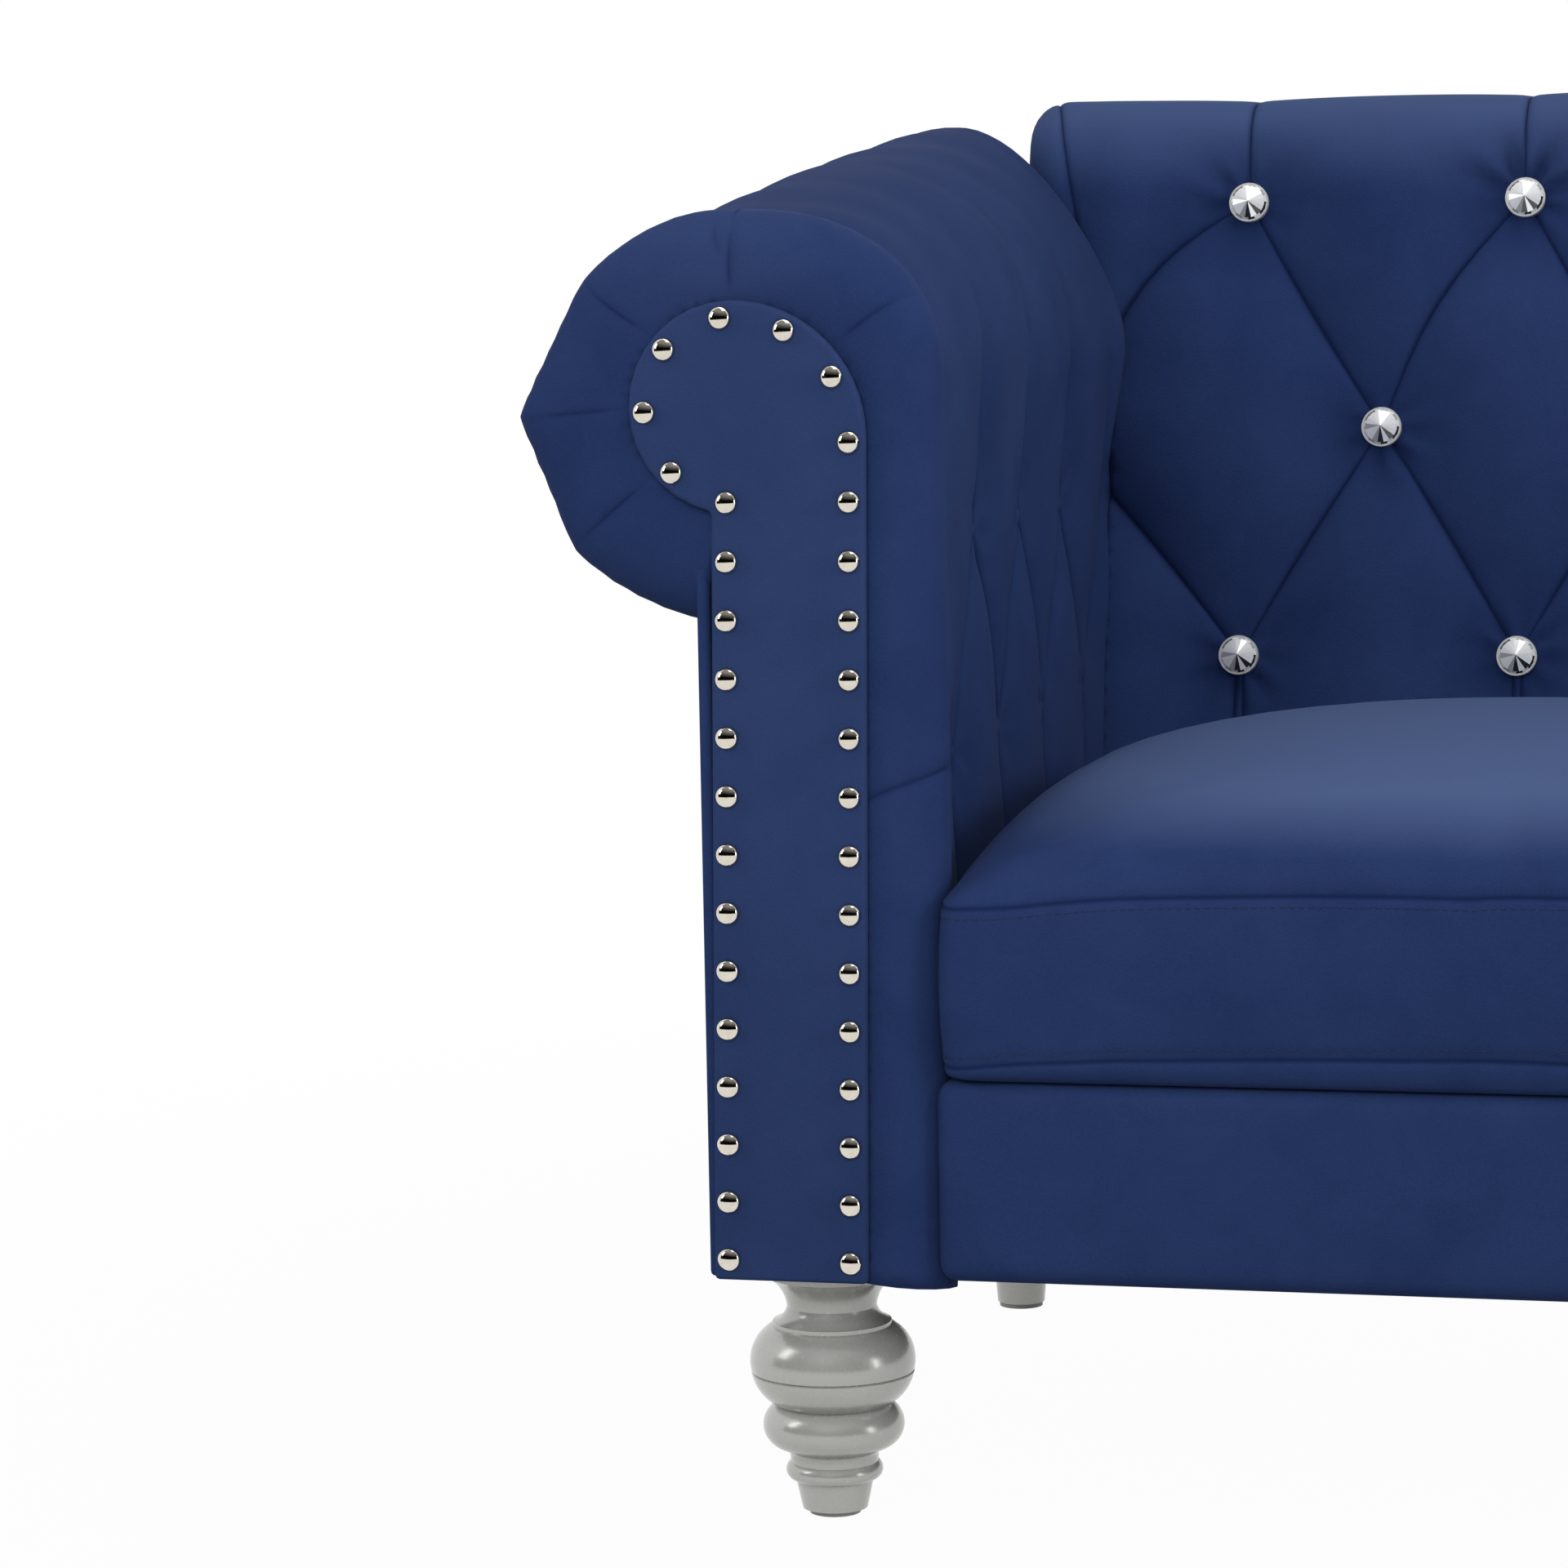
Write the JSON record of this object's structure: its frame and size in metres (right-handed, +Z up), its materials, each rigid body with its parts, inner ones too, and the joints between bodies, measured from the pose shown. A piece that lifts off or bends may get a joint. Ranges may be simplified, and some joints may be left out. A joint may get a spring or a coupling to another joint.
{
  "type": "loveseat",
  "caption": "Scroll-arm upholstered loveseat with a diamond-tufted back and inner arms, studded arm fronts, boxed loose seat cushions and turned front legs.",
  "frame": {"origin": "on the floor under the centre of the bounding box", "axes": "+X across the width, +Y from the front edge to the back, +Z up; the seat faces -Y"},
  "size_m": [1.6338, 0.772, 0.783],
  "materials": {
    "navy_velvet": "matte",
    "nickel_nailheads": "polished",
    "silvered_cups": "polished",
    "cut_crystal": "polished",
    "silver_painted_legs": "satin",
    "zinc_hardware": "satin",
    "nylon_glides": "matte",
    "black_bottom_cloth": "matte",
    "elastic_webbing": "matte",
    "deck_cloth": "matte",
    "hardboard": "matte",
    "frame_timber": "matte"
  },
  "bodies": {
    "frame": {"arm_buttons_left": "navy_velvet", "arm_buttons_right": "navy_velvet", "arm_front_panel_left": "navy_velvet", "arm_front_panel_right": "navy_velvet", "arm_front_post_left": "frame_timber", "arm_front_post_right": "frame_timber", "arm_inside_board_left": "hardboard", "arm_inside_board_right": "hardboard", "arm_inside_pad_left": "navy_velvet", "arm_inside_pad_right": "navy_velvet", "arm_outside_panel_left": "navy_velvet", "arm_outside_panel_right": "navy_velvet", "arm_rear_panel_left": "navy_velvet", "arm_rear_panel_right": "navy_velvet", "arm_rear_post_left": "frame_timber", "arm_rear_post_right": "frame_timber", "arm_roll_liner_left": "hardboard", "arm_roll_liner_right": "hardboard", "arm_roll_pad_left": "navy_velvet", "arm_roll_pad_right": "navy_velvet", "arm_top_rail_left": "frame_timber", "arm_top_rail_right": "frame_timber", "back_pad": "navy_velvet", "back_post_center": "frame_timber", "back_post_left": "frame_timber", "back_post_right": "frame_timber", "back_rear_panel": "navy_velvet", "back_side_panel_left": "navy_velvet", "back_side_panel_right": "navy_velvet", "back_top_rail": "frame_timber", "crystal_cups": "silvered_cups", "crystal_stones": "cut_crystal", "dust_cover": "black_bottom_cloth", "front_border": "navy_velvet", "front_leg_left": "silver_painted_legs", "front_leg_right": "silver_painted_legs", "leg_block_front_left": "frame_timber", "leg_block_front_right": "frame_timber", "leg_block_rear_left": "frame_timber", "leg_block_rear_right": "frame_timber", "leg_bolts": "zinc_hardware", "leg_glides": "nylon_glides", "leg_plates": "zinc_hardware", "nailheads_left": "nickel_nailheads", "nailheads_right": "nickel_nailheads", "rear_leg_left": "silver_painted_legs", "rear_leg_right": "silver_painted_legs", "seat_back_rail": "frame_timber", "seat_center_brace": "frame_timber", "seat_deck": "deck_cloth", "seat_front_rail": "frame_timber", "seat_side_rail_left": "frame_timber", "seat_side_rail_right": "frame_timber", "seat_webbing": "elastic_webbing"},
    "cushion_left": {"seat_cushion_left": "navy_velvet"},
    "cushion_right": {"seat_cushion_right": "navy_velvet"}
  },
  "joints": [
    {"name": "lift_cushion_left", "type": "slide", "parent": "frame", "child": "cushion_left", "axis": [0, 0, 1], "range_m": [0, 0.3]},
    {"name": "lift_cushion_right", "type": "slide", "parent": "frame", "child": "cushion_right", "axis": [0, 0, 1], "range_m": [0, 0.3]}
  ]
}
